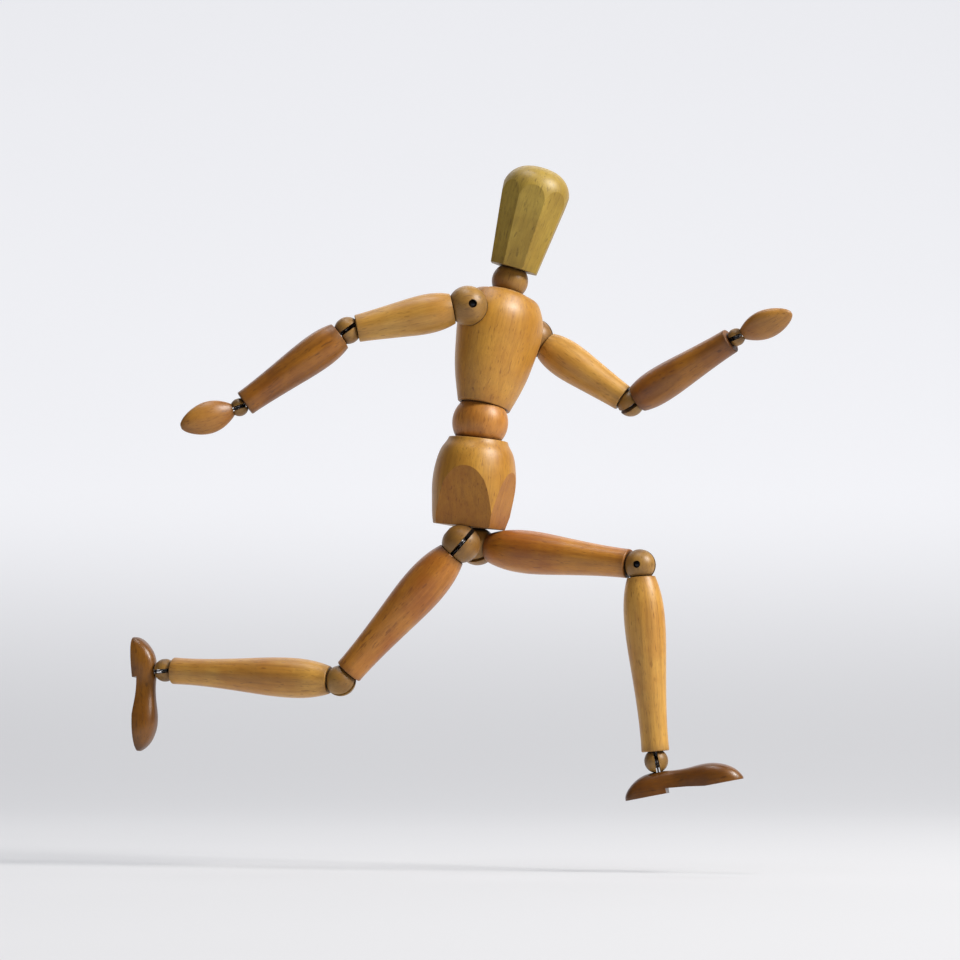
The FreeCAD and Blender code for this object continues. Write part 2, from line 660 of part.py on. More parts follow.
def build_balls(side, chain, frames, nodes):
    for ball in chain[0::2]:
        name = side + "_" + ball
        frame = frames[name + "_ball"]
        slot_side, flex, pin_side, pin_back = BALL_SETTING[name]
        to_parent = into(frame, frames[name + "_parent"])
        hook_side = hook_side_of(name, frames)
        wood = limb_ball(ball, to_parent, flex, pin_side, pin_back, hook_side)
        nodes[name + "_ball"] = moved(wood, frame)
        nodes[name + "_pin"] = moved(ball_pin(ball, pin_side, pin_back), frame)


def hook_from_parent(frames, ball, own):
    """The parent spring's hook on a ball's pin, seen in the frame `own` of that spring."""
    frame = frames[ball + "_ball"]
    pin_back = BALL_SETTING[ball][3]
    centre = frame.multVec(V(0, hook_side_of(ball, frames), -pin_back))
    axis = frame.Rotation.multVec(Y)
    return own.inverse().multVec(centre), into(own, axis), PIN_R[ball.split("_")[1]]


def limb_spring(side, ball, limb, next_ball, frames):
    own = frames[side + "_" + limb]
    pin_back = BALL_SETTING[side + "_" + ball][3]
    near = (V(0, -hook_side_of(side + "_" + ball, frames), -pin_back), Y, PIN_R[ball])
    far = hook_from_parent(frames, side + "_" + next_ball, own)
    length = LIMB_LENGTH[limb]
    return spring(near, far, COIL_LOW * length, COIL_HIGH * length, COIL_R, COIL_TURNS)


def build_limbs(side, chain, frames, nodes, blanks):
    top, first, middle, second, low, tip = chain
    nodes[side + "_" + first] = moved(blanks[first], frames[side + "_" + first])
    nodes[side + "_" + second] = moved(blanks[second], frames[side + "_" + second])
    nodes[side + "_" + tip] = moved(blanks[tip], frames[side + "_" + tip])
    for ball, limb, next_ball in ((top, first, middle), (middle, second, low)):
        wire = limb_spring(side, ball, limb, next_ball, frames)
        nodes[side + "_" + limb + "_spring"] = moved(wire, frames[side + "_" + limb])
    hook = peg_hook(low, PEG_DEPTH[tip], -hook_side_of(side + "_" + low, frames))
    nodes[side + "_" + tip + "_hook"] = moved(hook, frames[side + "_" + low + "_ball"])


def trunk_spring(frames, ball, low, high, reach, radius):
    """Spring through a ball's bore, hooked on anchor pins below and above it.

    low and high are (frame name, height of the anchor in that frame)."""
    own = frames[ball]
    ends = []
    for name, height in (low, high):
        centre = frames[name].multVec(V(0, 0, height))
        axis = frames[name].Rotation.multVec(X)
        ends.append((own.inverse().multVec(centre), into(own, axis), ANCHOR_R))
    return moved(spring(ends[0], ends[1], -reach, reach, radius, COIL_TURNS), own)


def shoulder_spring(frames):
    """One spring straight across the chest, from pin to pin."""
    chest = frames["chest"]
    right = chest.multVec(V(0, -SHOULDER_HALF_SPAN, SHOULDER_HEIGHT))
    own = placed(right, chest.Rotation.multVec(Y), chest.Rotation.multVec(X))
    near = hook_from_parent(frames, "right_shoulder", own)
    far = hook_from_parent(frames, "left_shoulder", own)
    low = BALL_R["shoulder"] + SHOULDER_COIL_GAP
    return moved(spring(near, far, low, 2 * SHOULDER_HALF_SPAN - low, COIL_R, COIL_TURNS), own)


def hip_springs(frames):
    """Two short springs from the hip pins up to the long anchor pin."""
    pelvis = frames["pelvis"]
    wires = []
    for side, sign in (("right", -1), ("left", 1)):
        centre = pelvis.multVec(V(HIP_FORWARD, sign * HIP_HALF_SPAN, -HIP_DROP))
        own = placed(centre, pelvis.Rotation.multVec(Z), pelvis.Rotation.multVec(Y))
        near = hook_from_parent(frames, side + "_hip", own)
        length = HIP_DROP + HIP_ANCHOR_HEIGHT
        far = (V(0, 0, length), Y, ANCHOR_R)
        low = BALL_R["hip"] + HIP_COIL_GAP
        wires.append(moved(spring(near, far, low, length - 3.5, COIL_R, COIL_TURNS / 2), own))
    return Part.makeCompound(wires)


def build_all():
    frames = trunk_frames()
    blanks = {
        "upper_arm": turned_limb("upper_arm", UPPER_ARM_LEN, "shoulder", "elbow"),
        "forearm": turned_limb("forearm", FOREARM_LEN, "elbow", "wrist"),
        "thigh": turned_limb("thigh", THIGH_LEN, "hip", "knee"),
        "shin": turned_limb("shin", SHIN_LEN, "knee", "ankle"),
        "hand": almond_hand(),
        "foot": carved_foot(),
    }
    nodes = {
        "pelvis": moved(pelvis_wood(), frames["pelvis"]),
        "pelvis_anchor_pins": moved(pelvis_anchors(), frames["pelvis"]),
        "waist_ball": moved(spine_ball(WAIST_BALL_R), frames["waist_ball"]),
        "chest": moved(chest_wood(), frames["chest"]),
        "chest_anchor_pins": moved(chest_anchors(), frames["chest"]),
        "neck_ball": moved(spine_ball(NECK_BALL_R), frames["neck_ball"]),
        "head": moved(head_wood(), frames["head"]),
        "head_anchor_pin": moved(head_anchor(), frames["head"]),
    }
    for side in ("right", "left"):
        for chain in (ARM, LEG):
            limb_frames(side, chain, frames)
            build_balls(side, chain, frames, nodes)
            build_limbs(side, chain, frames, nodes, blanks)
    nodes["shoulder_spring"] = shoulder_spring(frames)
    nodes["hip_springs"] = hip_springs(frames)
    nodes["waist_spring"] = trunk_spring(
        frames, "waist_ball", ("pelvis", WAIST_ANCHOR_LOW), ("chest", WAIST_ANCHOR_HIGH),
        WAIST_BALL_R - 2, SPINE_COIL_R)
    nodes["neck_spring"] = trunk_spring(
        frames, "neck_ball", ("chest", NECK_ANCHOR_LOW), ("head", NECK_ANCHOR_HIGH),
        NECK_BALL_R - 1.5, COIL_R)
    return nodes


os.makedirs("parts", exist_ok=True)
for node, shape in build_all().items():
    shape.exportStep("parts/" + node + ".step")
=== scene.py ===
"""Wooden artist mannequin in a running pose, lit in a pale studio. Units are metres."""
import json
import math

import bpy
import numpy as np
from mathutils import Matrix, Vector

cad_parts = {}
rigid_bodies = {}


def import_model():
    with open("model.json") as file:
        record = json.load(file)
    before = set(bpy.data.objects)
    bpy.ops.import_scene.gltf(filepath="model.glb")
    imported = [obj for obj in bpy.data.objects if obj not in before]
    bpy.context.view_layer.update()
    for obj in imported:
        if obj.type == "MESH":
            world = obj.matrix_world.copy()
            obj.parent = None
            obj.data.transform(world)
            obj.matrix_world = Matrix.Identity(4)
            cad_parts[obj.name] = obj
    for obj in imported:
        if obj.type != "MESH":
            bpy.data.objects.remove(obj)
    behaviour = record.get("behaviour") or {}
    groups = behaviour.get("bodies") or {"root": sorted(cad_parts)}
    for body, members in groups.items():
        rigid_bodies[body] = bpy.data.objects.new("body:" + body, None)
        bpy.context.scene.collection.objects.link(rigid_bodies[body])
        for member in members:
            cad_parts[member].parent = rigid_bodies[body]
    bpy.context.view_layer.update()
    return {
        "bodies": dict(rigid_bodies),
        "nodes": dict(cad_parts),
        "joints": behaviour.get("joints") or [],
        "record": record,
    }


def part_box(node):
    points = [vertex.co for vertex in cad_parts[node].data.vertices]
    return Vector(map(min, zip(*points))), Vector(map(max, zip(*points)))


MM = 0.001

# ---- camera and studio ----------------------------------------------------------------------
VIEW_AZIMUTH = 22.0
VIEW_ELEVATION = -5.0
CAMERA_DISTANCE = 1.05
CAMERA_LENS_MM = 106.4
AIM = Vector((15.5, 0.0, 9.0)) * MM
FLOOR_Z = -134 * MM
FLOOR_HALF_WIDTH = 3.0
FLOOR_NEAR = 2.2
WALL_DISTANCE = 2.9
WALL_HEIGHT = 3.2
SWEEP_RADIUS = 2.2
STUDIO_WHITE = (0.36, 0.362, 0.372)
# painted light: colour of the glow that the paper gives off, full up the wall
PAPER_GLOW = (0.665, 0.67, 0.70)
FLOOR_GLOW = 0.53          # share of the wall's glow that the floor has
GLOW_RISE = 0.3            # height over the floor where the glow is full
SWEEP_STEPS = 24
PAPER_ROUGHNESS = 0.78
PAPER_GRAIN_ROUGHER = 0.1
PAPER_BUMP = 0.05
PAPER_RELIEF = 0.1 * MM
CLOUD_SHARE = 0.97         # brightness of the mottled patches
CLIP_NEAR = 0.05
CLIP_FAR = 30
WORLD_COLOUR = (0.86, 0.88, 0.94, 1)
WORLD_STRENGTH = 0.08
# name, place from the aim (right, straight up, towards camera) and size in metres, watts, tint
SOFTBOXES = (
    ("key", (1.1, 0.95, 0.55), (0.55, 0.55), 30, (1, 0.975, 0.93)),
    ("top", (-0.15, 1.3, 0.1), (0.8, 0.35), 6, (1, 1, 1)),
    ("fill", (-1.3, 0.1, 1.2), (0.7, 0.9), 0.6, (0.95, 0.97, 1)),
    ("wall", (0.0, 1.9, -1.9), (3.2, 0.8), 14, (1, 1, 1)),
)

# ---- turned wood: base colours as seen under white light, 0 to 255 ---------------------------
# dark streaks, main colour, pale fibres, then how matt, how grimy and how streaky the piece is
WOOD_LOOK = {
    "head": ((92, 70, 18), (156, 124, 40), (188, 158, 66), 0.46, 0.30, 0.6),
    "trunk": ((112, 62, 10), (172, 114, 28), (200, 146, 52), 0.40, 0.35, 0.7),
    "waist": ((120, 62, 12), (176, 106, 26), (202, 140, 58), 0.42, 0.5, 1.0),
    "ball": ((76, 47, 12), (134, 90, 30), (172, 128, 56), 0.42, 0.9, 0.5),
    "upper_arm": ((126, 78, 18), (184, 128, 44), (212, 162, 76), 0.38, 0.5, 0.7),
    "forearm": ((66, 30, 2), (132, 74, 8), (172, 110, 22), 0.34, 0.9, 0.9),
    "hand": ((88, 48, 10), (148, 92, 26), (184, 128, 50), 0.38, 0.5, 0.7),
    "thigh": ((102, 48, 8), (170, 98, 22), (204, 138, 46), 0.34, 0.8, 0.9),
    "shin": ((120, 72, 18), (186, 124, 42), (212, 160, 72), 0.38, 0.6, 1.0),
    "foot": ((48, 24, 2), (98, 54, 6), (140, 88, 16), 0.28, 0.6, 0.7),
}
# planed facets took less lacquer and look duller, each with its own tint
PLANED_TINT = {"head": (0.92, 0.90, 0.80, 1), "pelvis": (0.84, 0.72, 0.50, 1)}
RING_SPACING = 2.3 * MM
PITH_OFFSET = Vector((17.0, 9.0, 0.0)) * MM
RING_MEANDER = 4.0         # rings by which the growth pattern wanders
RING_STRETCH = (1, 1, 0.05)  # the rings hardly change along the grain
BEVEL = 0.22 * MM
SEED_STEP = 3.7
SMALLEST_FACET = 60 * MM * MM
SAME_FACING = 0.9999       # cosine above which two normals belong to one facet
EDGE_STARTS = 0.995        # cosine between rounded and flat normal where wear begins
EDGE_FULL = 0.90

# noise cells per metre: across the grain twice, then along it
WANDER_CELLS = (40, 40, 9)
FIBRE_CELLS = (1900, 1900, 60)
BAND_CELLS = (420, 420, 16)
FLECK_CELLS = (1250, 1250, 260)
PORE_CELLS = (3600, 3600, 420)
TURNING_CELLS = (60, 60, 2400)
PLANING_CELLS = (900, 900, 70)
# noise cells per metre, the same every way
BLOTCH_CELLS = 48
SMUDGE_CELLS = 150
DENT_CELLS = 420

# how much of each feature's colour is mixed in, 0 to 1
BAND_MIX = 0.36
RING_MIX = 0.14
DARK_FIBRE_MIX = 0.26
PALE_FIBRE_MIX = 0.20
FLECK_MIX = 0.45
PORE_MIX = 0.35
RIM_DIRT_MIX = 0.55
SMUDGE_MIX = 0.30
STAIN_SHARE = 0.35         # brightness of the stain against the dark streaks
# near-black colour of the painted shade in the cups and saw slots
HOLLOW_SHADE = (0.006, 0.004, 0.003, 1)
RIM_DIRT_START = 6.5 * MM  # distance from a piece's end where the dirt begins
RIM_DIRT_FULL = 1.6 * MM
RIM_RAGGED = 5 * MM
# how far the painted shade reaches into the hollows
HOLLOW_REACH = 2.2 * MM

# lacquer and relief
PLANED_ROUGHER = 0.12
SMUDGE_ROUGHER = 0.16
DIRT_ROUGHER = 0.25
FIBRE_SMOOTHER = 0.08
WOOD_BUMP = 0.8
TURNED_COAT = 0.34
PLANED_COAT = 0.10
WOOD_RELIEF = 0.06 * MM
FIBRE_RELIEF = 0.35
PORE_RELIEF = 0.55
FLECK_RELIEF = 0.25
MARK_RELIEF = 0.35
DENT_RELIEF = 1.2
BLOTCH_RELIEF = 2.5

# ---- steel ----------------------------------------------------------------------------------
PIN_TINT = (0.035, 0.037, 0.045, 1)
PIN_ROUGHNESS = 0.22
WIRE_TINT = (0.42, 0.42, 0.44, 1)
WIRE_ROUGHNESS = 0.28
SCRATCH_CELLS = (300, 4200, 4200)
FILM_CELLS = 700
STEEL_BUMP = 0.4
STEEL_RELIEF = 0.02 * MM
DULL_SHARE = 0.45          # brightness of the oily film against the bare steel
BRIGHT_SHARE = 2.4         # brightness of the rubbed edges against it
EDGE_RUB = 0.7
FILM_ROUGHER = 0.2


def to_linear(rgb):
    """Colour value 0 to 255 as a linear RGBA tuple."""
    out = []
    for value in rgb:
        c = value / 255.0
        out.append(c / 12.92 if c < 0.04045 else ((c + 0.055) / 1.055) ** 2.4)
    return tuple(out) + (1.0,)


# ---- shader building ------------------------------------------------------------------------
class Sheet:
    """A material's node tree, with short ways to add nodes."""

    def __init__(self, name):
        self.material = bpy.data.materials.new(name)
        self.material.use_nodes = True
        self.tree = self.material.node_tree
        self.tree.nodes.clear()

    def add(self, kind, settings=None, **inputs):
        node = self.tree.nodes.new("ShaderNode" + kind)
        for key, value in (settings or {}).items():
            setattr(node, key, value)
        for key, value in inputs.items():
            self.feed(node, key.replace("_", " "), value)
        return node

    def feed(self, node, key, value):
        socket = node.inputs[int(key)] if key.isdigit() else node.inputs[key]
        if isinstance(value, bpy.types.NodeSocket):
            self.tree.links.new(value, socket)
        else:
            socket.default_value = value

    def math(self, operation, a, b=0.0, clamp=False):
        node = self.tree.nodes.new("ShaderNodeMath")
        node.operation = operation
        node.use_clamp = clamp
        self.feed(node, "0", a)
        self.feed(node, "1", b)
        return node.outputs[0]

    def scaled(self, vector, scale):
        node = self.tree.nodes.new("ShaderNodeVectorMath")
        node.operation = "MULTIPLY"
        self.feed(node, "0", vector)
        self.feed(node, "1", scale)
        return node.outputs[0]

    def noise(self, vector, scale, detail, rough, seed, distortion=0.0):
        node = self.tree.nodes.new("ShaderNodeTexNoise")
        node.noise_dimensions = "4D"
        self.feed(node, "Vector", vector)
        self.feed(node, "Scale", scale)
        self.feed(node, "Detail", detail)
        self.feed(node, "Roughness", rough)
        self.feed(node, "Distortion", distortion)
        self.feed(node, "W", seed)
        return node.outputs["Fac"]

    def ramp(self, value, low, high, out_low=0.0, out_high=1.0):
        node = self.tree.nodes.new("ShaderNodeMapRange")
        node.interpolation_type = "SMOOTHSTEP"
        for key, item in (("Value", value), ("From Min", low), ("From Max", high),
                          ("To Min", out_low), ("To Max", out_high)):
            self.feed(node, key, item)
        return node.outputs[0]

    def mix(self, factor, a, b, blend="MIX"):
        node = self.tree.nodes.new("ShaderNodeMix")
        node.data_type = "RGBA"
        node.blend_type = blend
        self.feed(node, "0", factor)
        self.feed(node, "6", a)
        self.feed(node, "7", b)
        return node.outputs[2]

    def finish(self, colour, roughness, normal, **fixed):
        shader = self.add("BsdfPrincipled")
        self.feed(shader, "Base Color", colour)
        self.feed(shader, "Roughness", roughness)
        self.feed(shader, "Normal", normal)
        for key, value in fixed.items():
            self.feed(shader, key.replace("_", " "), value)
        output = self.add("OutputMaterial")
        self.tree.links.new(shader.outputs[0], output.inputs["Surface"])
        return self.material


def local_coordinates(sheet, frame):
    """Point in a piece's own frame: its Z runs along the grain."""
    position = sheet.add("TexCoord").outputs["Object"]
    mapping = sheet.add("Mapping", {"vector_type": "TEXTURE"})
    sheet.feed(mapping, "Vector", position)
    sheet.feed(mapping, "Location", frame.translation)
    sheet.feed(mapping, "Rotation", Vector(frame.to_euler()))
    return mapping.outputs[0]


def edge_wear(sheet):
    """Rounded normal for the sharp edges, and a mask that is 1 on them."""
    rounded = sheet.add("Bevel", {"samples": 4}, Radius=BEVEL).outputs[0]
    flat = sheet.add("NewGeometry").outputs["Normal"]
    dot = sheet.tree.nodes.new("ShaderNodeVectorMath")
    dot.operation = "DOT_PRODUCT"
    sheet.feed(dot, "0", rounded)
    sheet.feed(dot, "1", flat)
    mask = sheet.ramp(dot.outputs["Value"], EDGE_STARTS, EDGE_FULL)
    return rounded, mask


def wood(name, look, frame, low, high, seed, planed=None):
    """Lacquered beech with fibres, growth rings, flecks, handling grime, worn edges and painted
    shade in its hollows.

    low and high are the piece's ends along the grain, in its own frame. planed is the tint of
    a planed facet, or None on a turned surface."""
    dark, main, pale, matt, grime, streaks = WOOD_LOOK[look]
    sheet = Sheet(name)
    point = local_coordinates(sheet, frame)
    rounded, worn_edge = edge_wear(sheet)

    # growth rings around a pith that lies beside the piece
    wander = sheet.noise(sheet.scaled(point, WANDER_CELLS), 1.0, 3, 0.5, seed)
    shifted = sheet.add("VectorMath", {"operation": "ADD"}).outputs[0]
    sheet.feed(shifted.node, "0", sheet.scaled(point, RING_STRETCH))
    sheet.feed(shifted.node, "1", PITH_OFFSET)
    distance = sheet.add("VectorMath", {"operation": "LENGTH"})
    sheet.feed(distance, "0", shifted)
    years = sheet.math("MULTIPLY", distance.outputs["Value"], 1 / RING_SPACING)
    years = sheet.math("ADD", years, sheet.math("MULTIPLY", wander, RING_MEANDER))
    saw = sheet.math("FRACT", years)
    ring = sheet.math("MULTIPLY", sheet.ramp(saw, 0.25, 0.95), sheet.ramp(saw, 1.0, 0.95))

    # fibres, ray flecks and pores, all drawn out along the grain
    fibre = sheet.noise(sheet.scaled(point, FIBRE_CELLS), 1.0, 4, 0.6, seed + 3)
    band = sheet.noise(sheet.scaled(point, BAND_CELLS), 1.0, 3, 0.55, seed + 5)
    fleck_noise = sheet.noise(sheet.scaled(point, FLECK_CELLS), 1.0, 1, 0.4, seed + 7)
    fleck = sheet.ramp(fleck_noise, 0.63, 0.72)
    pore_noise = sheet.noise(sheet.scaled(point, PORE_CELLS), 1.0, 1, 0.4, seed + 9)
    pore = sheet.ramp(pore_noise, 0.60, 0.74)
    blotch = sheet.noise(point, BLOTCH_CELLS, 4, 0.6, seed + 11)
    smudge_noise = sheet.noise(point, SMUDGE_CELLS, 5, 0.7, seed + 13, 0.6)
    smudge = sheet.ramp(smudge_noise, 0.58, 0.78)

    colour = sheet.mix(sheet.ramp(blotch, 0.3, 0.72), to_linear(main), to_linear(pale))
    amount = sheet.math("MULTIPLY", sheet.ramp(band, 0.45, 0.75), BAND_MIX * streaks)
    colour = sheet.mix(amount, colour, to_linear(dark))
    colour = sheet.mix(sheet.math("MULTIPLY", ring, RING_MIX * streaks), colour, to_linear(dark))
    colour = sheet.mix(sheet.ramp(fibre, 0.45, 0.75, 0.0, DARK_FIBRE_MIX), colour, to_linear(dark))
    colour = sheet.mix(sheet.ramp(fibre, 0.45, 0.25, 0.0, PALE_FIBRE_MIX), colour, to_linear(pale))
    colour = sheet.mix(sheet.math("MULTIPLY", fleck, FLECK_MIX), colour, to_linear(dark))
    colour = sheet.mix(sheet.math("MULTIPLY", pore, PORE_MIX), colour, to_linear(dark))

    # stain and dirt that gather at the ends, and painted shade in the cups and saw slots
    along = sheet.add("SeparateXYZ")
    sheet.feed(along, "0", point)
    z = along.outputs["Z"]
    ragged = sheet.math("MULTIPLY", smudge_noise, RIM_RAGGED)
    near_low = sheet.math("ADD", sheet.math("SUBTRACT", z, low), ragged)
    near_high = sheet.math("ADD", sheet.math("SUBTRACT", high, z), ragged)
    nearest = sheet.math("MINIMUM", near_low, near_high)
    rim = sheet.ramp(nearest, RIM_DIRT_START, RIM_DIRT_FULL)
    dirt = sheet.math("MULTIPLY", rim, RIM_DIRT_MIX * grime)
    dirt = sheet.math("MAXIMUM", dirt, sheet.math("MULTIPLY", smudge, SMUDGE_MIX * grime))
    stain = tuple(c * STAIN_SHARE for c in to_linear(dark)[:3]) + (1.0,)
    colour = sheet.mix(dirt, colour, stain)
    # painted shade: ambient occlusion darkens the cups and saw slots towards near black
    hollow = sheet.add("AmbientOcclusion", {"samples": 4}, Distance=HOLLOW_REACH).outputs["AO"]
    colour = sheet.mix(sheet.ramp(hollow, 0.62, 0.12), colour, HOLLOW_SHADE)
    rubbed = sheet.math("MULTIPLY", worn_edge, sheet.ramp(smudge_noise, 0.42, 0.62, 0.15, 0.75))
    colour = sheet.mix(rubbed, colour, to_linear(pale))
    if planed:
        colour = sheet.mix(1.0, colour, planed, "MULTIPLY")

    roughness = matt + (PLANED_ROUGHER if planed else 0.0)
    roughness = sheet.math("ADD", roughness, sheet.math("MULTIPLY", smudge_noise, SMUDGE_ROUGHER))
    roughness = sheet.math("ADD", roughness, sheet.math("MULTIPLY", dirt, DIRT_ROUGHER))
    smoother = sheet.math("MULTIPLY", fibre, FIBRE_SMOOTHER)
    roughness = sheet.math("SUBTRACT", roughness, smoother, True)

    # tool marks run round a turned piece and along a planed one
    marks_scale = PLANING_CELLS if planed else TURNING_CELLS
    marks = sheet.noise(sheet.scaled(point, marks_scale), 1.0, 2, 0.5, seed + 15)
    dents = sheet.ramp(sheet.noise(point, DENT_CELLS, 2, 0.5, seed + 17), 0.70, 0.80)
    height = sheet.math("MULTIPLY", fibre, FIBRE_RELIEF)
    height = sheet.math("SUBTRACT", height, sheet.math("MULTIPLY", pore, PORE_RELIEF))
    height = sheet.math("SUBTRACT", height, sheet.math("MULTIPLY", fleck, FLECK_RELIEF))
    height = sheet.math("ADD", height, sheet.math("MULTIPLY", marks, MARK_RELIEF))
    height = sheet.math("SUBTRACT", height, sheet.math("MULTIPLY", dents, DENT_RELIEF))
    height = sheet.math("ADD", height, sheet.math("MULTIPLY", blotch, BLOTCH_RELIEF))
    bump = sheet.add("Bump", Strength=WOOD_BUMP, Distance=WOOD_RELIEF)
    sheet.feed(bump, "Height", height)
    sheet.feed(bump, "Normal", rounded)
    return sheet.finish(
        colour, roughness, bump.outputs[0], Coat_Weight=PLANED_COAT if planed else TURNED_COAT,
        Coat_Roughness=0.36, Coat_IOR=1.47, Specular_IOR_Level=0.42, Sheen_Weight=0.03,
        Sheen_Roughness=0.5, IOR=1.5)


def steel(name, tint, rough, seed):
    """Wire or pin stock with fine scratches along X and a thin film of oil."""
    sheet = Sheet(name)
    point = sheet.add("TexCoord").outputs["Object"]
    rounded, worn_edge = edge_wear(sheet)
    film = sheet.noise(point, FILM_CELLS, 4, 0.6, seed)
    scratch = sheet.noise(sheet.scaled(point, SCRATCH_CELLS), 1.0, 2, 0.5, seed + 2)
    dull = tuple(c * DULL_SHARE for c in tint[:3]) + (1,)
    bright = tuple(min(1.0, c * BRIGHT_SHARE) for c in tint[:3]) + (1,)
    colour = sheet.mix(sheet.ramp(film, 0.35, 0.7), tint, dull)
    colour = sheet.mix(sheet.math("MULTIPLY", worn_edge, EDGE_RUB), colour, bright)
    roughness = sheet.math("ADD", rough, sheet.math("MULTIPLY", film, FILM_ROUGHER))
    bump = sheet.add("Bump", Strength=STEEL_BUMP, Distance=STEEL_RELIEF)
    sheet.feed(bump, "Height", scratch)
    sheet.feed(bump, "Normal", rounded)
    return sheet.finish(
        colour, roughness, bump.outputs[0], Metallic=1.0, Anisotropic=0.3,
        Specular_IOR_Level=0.5, Coat_Weight=0.05, Coat_Roughness=0.3)


# ---- where the pieces lie ---------------------------------------------------------------------
def frame_along(origin, direction):
    """Matrix at origin whose Z lies along direction."""
    rotation = direction.normalized().to_track_quat("Z", "Y")
    return Matrix.Translation(origin) @ rotation.to_matrix().to_4x4()


def vertices_of(piece):
    """The piece's vertices as rows of x, y, z."""
    co = np.zeros(len(piece.data.vertices) * 3)
    piece.data.vertices.foreach_get("co", co)
    return co.reshape(-1, 3)


def ends_along(piece, frame):
    """Lowest and highest reach of a piece along its frame's Z."""
    direction = np.array(frame.to_3x3().col[2])
    reach = (vertices_of(piece) - np.array(frame.translation)) @ direction
    return float(reach.min()), float(reach.max())


def longest_direction(piece):
    """Direction in which the vertices spread furthest."""
    co = vertices_of(piece)
    spread = np.cov((co - co.mean(0)).T)
    return Vector(np.linalg.eigh(spread)[1][:, 2])


def joint_places(frame):
    """Each joint's place, by joint name."""
    return {j["name"]: Vector(j["pos_m"]) for j in frame["joints"]}


def grain_frames(frame):
    """Own frame of every wooden piece, by node name; Z is the direction of its grain."""
    at = joint_places(frame)
    nodes = frame["nodes"]
    waist = at["waist turn"]
    neck = at["neck turn"]
    low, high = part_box("head")
    crown = (low + high) / 2
    low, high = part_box("pelvis")
    seat = (low + high) / 2
    frames = {
        "pelvis": frame_along(seat, waist - seat),
        "waist_ball": frame_along(waist, neck - waist),
        "chest": frame_along(waist, neck - waist),
        "neck_ball": frame_along(neck, crown - neck),
        "head": frame_along(neck, crown - neck),
    }
    chains = (("shoulder", "upper_arm", "elbow", "forearm", "wrist", "hand"),
              ("hip", "thigh", "knee", "shin", "ankle", "foot"))
    for side in ("right", "left"):
        for top, first, middle, second, end, tip in chains:
            for ball, limb, next_ball in ((top, first, middle), (middle, second, end)):
                start = at[f"{side} {ball} bend"]
                stop = at[f"{side} {next_ball} bend"]
                frames[f"{side}_{limb}"] = frame_along(start, stop - start)
                frames[f"{side}_{ball}_ball"] = frame_along(start, stop - start)
            joint = at[f"{side} {end} bend"]
            tip_node = nodes[f"{side}_{tip}"]
            frames[f"{side}_{tip}"] = frame_along(joint, longest_direction(tip_node))
            frames[f"{side}_{end}_ball"] = frame_along(joint, longest_direction(tip_node))
    return frames


def look_of(node):
    """Key of a wooden node in WOOD_LOOK."""
    for part in ("upper_arm", "forearm", "hand", "thigh", "shin", "foot", "head"):
        if node.endswith(part):
            return part
    if node == "waist_ball":
        return "waist"
    return "ball" if node.endswith("_ball") else "trunk"


def facet_normals(piece):
    """Normals shared by a large flat area: the planed facets and the flat ends."""
    areas = {}
    for polygon in piece.data.polygons:
        key = tuple(round(c, 3) for c in polygon.normal)
        areas[key] = areas.get(key, 0.0) + polygon.area
    return [Vector(key) for key, area in areas.items() if area > SMALLEST_FACET]


def paint_wood(frame):
    """A material for every wooden piece, and a second one for planed facets."""
    frames = grain_frames(frame)
    for index, (node, own) in enumerate(sorted(frames.items())):
        piece = frame["nodes"][node]
        low, high = ends_along(piece, own)
        seed = SEED_STEP * index
        look = look_of(node)
        piece.data.materials.clear()
        piece.data.materials.append(wood(node + "_wood", look, own, low, high, seed))
        if node in PLANED_TINT:
            piece.data.materials.append(
                wood(node + "_planed", look, own, low, high, seed, PLANED_TINT[node]))
            flats = facet_normals(piece)
            for polygon in piece.data.polygons:
                flat = any(polygon.normal.dot(n) > SAME_FACING for n in flats)
                polygon.material_index = 1 if flat else 0


def paint_steel(frame):
    """Dark steel for the pins, brighter wire for springs and hooks."""
    dark = steel("pin_steel", PIN_TINT, PIN_ROUGHNESS, 1.0)
    bright = steel("wire_steel", WIRE_TINT, WIRE_ROUGHNESS, 2.0)
    for node, piece in frame["nodes"].items():
        if "spring" in node or "hook" in node:
            chosen = bright
        elif node.endswith(("pin", "pins")):
            chosen = dark
        else:
            continue
        piece.data.materials.clear()
        piece.data.materials.append(chosen)


# ---- studio -----------------------------------------------------------------------------------
def directions():
    """Image right, image up and the direction towards the camera, in the scene's frame."""
    azimuth = math.radians(VIEW_AZIMUTH)
    elevation = math.radians(VIEW_ELEVATION)
    right = Vector((math.cos(azimuth), math.sin(azimuth), 0))
    back = Vector((math.sin(azimuth), -math.cos(azimuth), 0)) * math.cos(elevation)
    towards = back + Vector((0, 0, math.sin(elevation)))
    return right, towards.cross(right), towards


def place_camera():
    right, up, towards = directions()
    data = bpy.data.cameras.new("camera")
    data.lens = CAMERA_LENS_MM
    data.clip_start = CLIP_NEAR
    data.clip_end = CLIP_FAR
    camera = bpy.data.objects.new("camera", data)
    rotation = Matrix((right, up, towards)).transposed().to_4x4()
    camera.matrix_world = Matrix.Translation(AIM + towards * CAMERA_DISTANCE) @ rotation
    bpy.context.scene.collection.objects.link(camera)
    bpy.context.scene.camera = camera


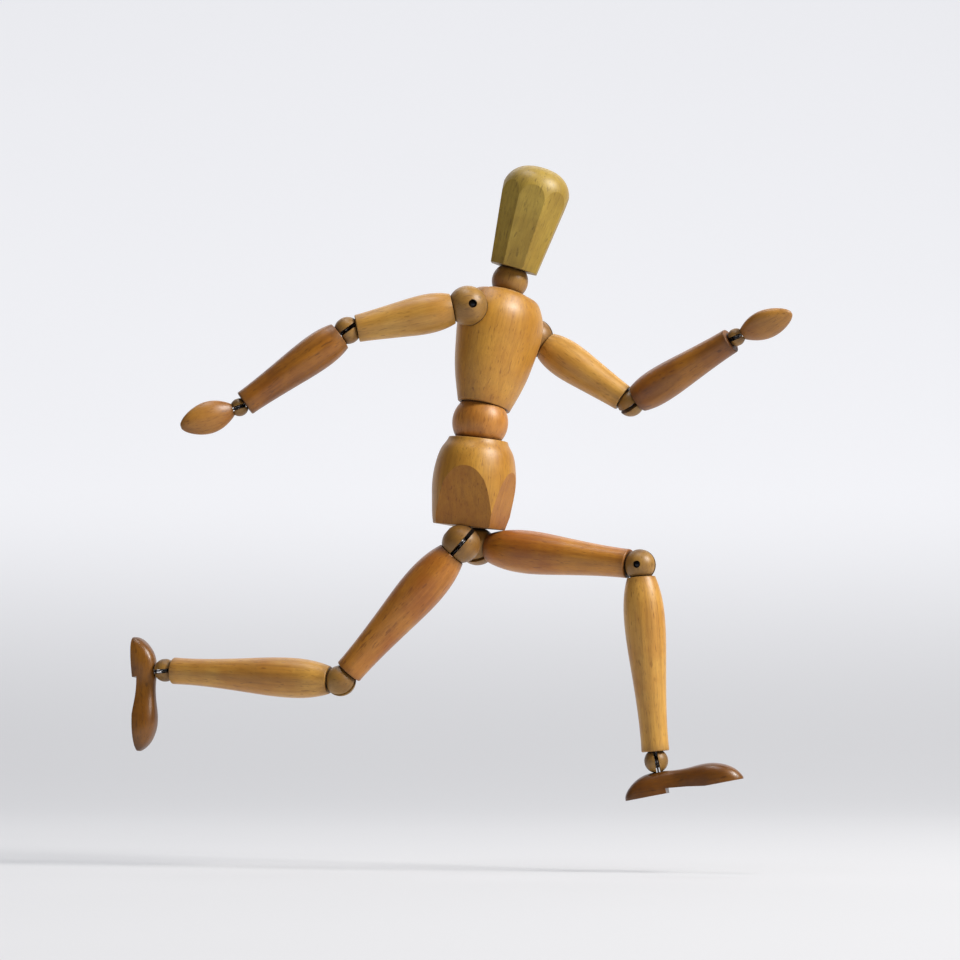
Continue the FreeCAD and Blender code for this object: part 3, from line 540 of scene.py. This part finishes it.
def sweep_material():
    """Matt paper with a barely visible mottle and a painted glow that is dimmer on the floor than
    up the wall.
    """
    sheet = Sheet("studio_paper")
    point = sheet.add("TexCoord").outputs["Object"]
    cloud = sheet.noise(point, 1.7, 3, 0.5, 4.0)
    grain = sheet.noise(point, 900, 2, 0.5, 6.0)
    base = STUDIO_WHITE + (1.0,)
    soft = tuple(c * CLOUD_SHARE for c in STUDIO_WHITE) + (1.0,)
    colour = sheet.mix(sheet.ramp(cloud, 0.35, 0.65), base, soft)
    roughness = sheet.math("MULTIPLY", grain, PAPER_GRAIN_ROUGHER)
    roughness = sheet.math("ADD", PAPER_ROUGHNESS, roughness)
    bump = sheet.add("Bump", Strength=PAPER_BUMP, Distance=PAPER_RELIEF)
    sheet.feed(bump, "Height", grain)
    height = sheet.add("SeparateXYZ")
    sheet.feed(height, "0", point)
    # painted light: the paper glows at FLOOR_GLOW of full on the floor and at full from GLOW_RISE
    # above it
    glow = sheet.ramp(height.outputs["Z"], FLOOR_Z, FLOOR_Z + GLOW_RISE, FLOOR_GLOW, 1.0)
    return sheet.finish(
        colour, roughness, bump.outputs[0], Specular_IOR_Level=0.15,
        Emission_Color=PAPER_GLOW + (1.0,), Emission_Strength=glow)


def paper_sweep():
    """Floor that curves up into the wall behind the figure."""
    right, _, towards = directions()
    front = Vector((towards.x, towards.y, 0)).normalized()
    outline = [(FLOOR_NEAR, 0.0), (-WALL_DISTANCE + SWEEP_RADIUS, 0.0)]
    for i in range(1, SWEEP_STEPS + 1):
        t = math.pi / 2 * i / SWEEP_STEPS
        outline.append((-WALL_DISTANCE + SWEEP_RADIUS - SWEEP_RADIUS * math.sin(t),
                        SWEEP_RADIUS * (1 - math.cos(t))))
    outline.append((-WALL_DISTANCE, WALL_HEIGHT))
    points = []
    for depth, height in outline:
        for side in (-1, 1):
            points.append(right * (side * FLOOR_HALF_WIDTH) + front * depth
                          + Vector((0, 0, FLOOR_Z + height)))
    faces = [(2 * i, 2 * i + 1, 2 * i + 3, 2 * i + 2) for i in range(len(outline) - 1)]
    mesh = bpy.data.meshes.new("paper_sweep")
    mesh.from_pydata([tuple(p) for p in points], [], faces)
    for polygon in mesh.polygons:
        polygon.use_smooth = True
    sweep = bpy.data.objects.new("paper_sweep", mesh)
    bpy.context.scene.collection.objects.link(sweep)
    mesh.materials.append(sweep_material())


def softbox(name, offset, size, power, tint):
    """Area light; offset is (right, straight up, towards the camera) from the aim, in metres."""
    right, _, towards = directions()
    place = AIM + right * offset[0] + Vector((0, 0, offset[1])) + towards * offset[2]
    data = bpy.data.lights.new(name, "AREA")
    data.shape = "RECTANGLE"
    data.size, data.size_y = size
    data.energy = power
    data.color = tint
    light = bpy.data.objects.new(name, data)
    rotation = (place - AIM).to_track_quat("Z", "Y").to_matrix().to_4x4()
    light.matrix_world = Matrix.Translation(place) @ rotation
    bpy.context.scene.collection.objects.link(light)


def studio():
    paper_sweep()
    for name, offset, size, power, tint in SOFTBOXES:
        softbox(name, offset, size, power, tint)
    world = bpy.data.worlds.new("studio_air")
    world.use_nodes = True
    background = world.node_tree.nodes["Background"]
    background.inputs["Color"].default_value = WORLD_COLOUR
    background.inputs["Strength"].default_value = WORLD_STRENGTH
    bpy.context.scene.world = world
    bpy.context.scene.view_settings.view_transform = "Standard"
    bpy.context.scene.view_settings.look = "None"


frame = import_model()
paint_wood(frame)
paint_steel(frame)
studio()
place_camera()
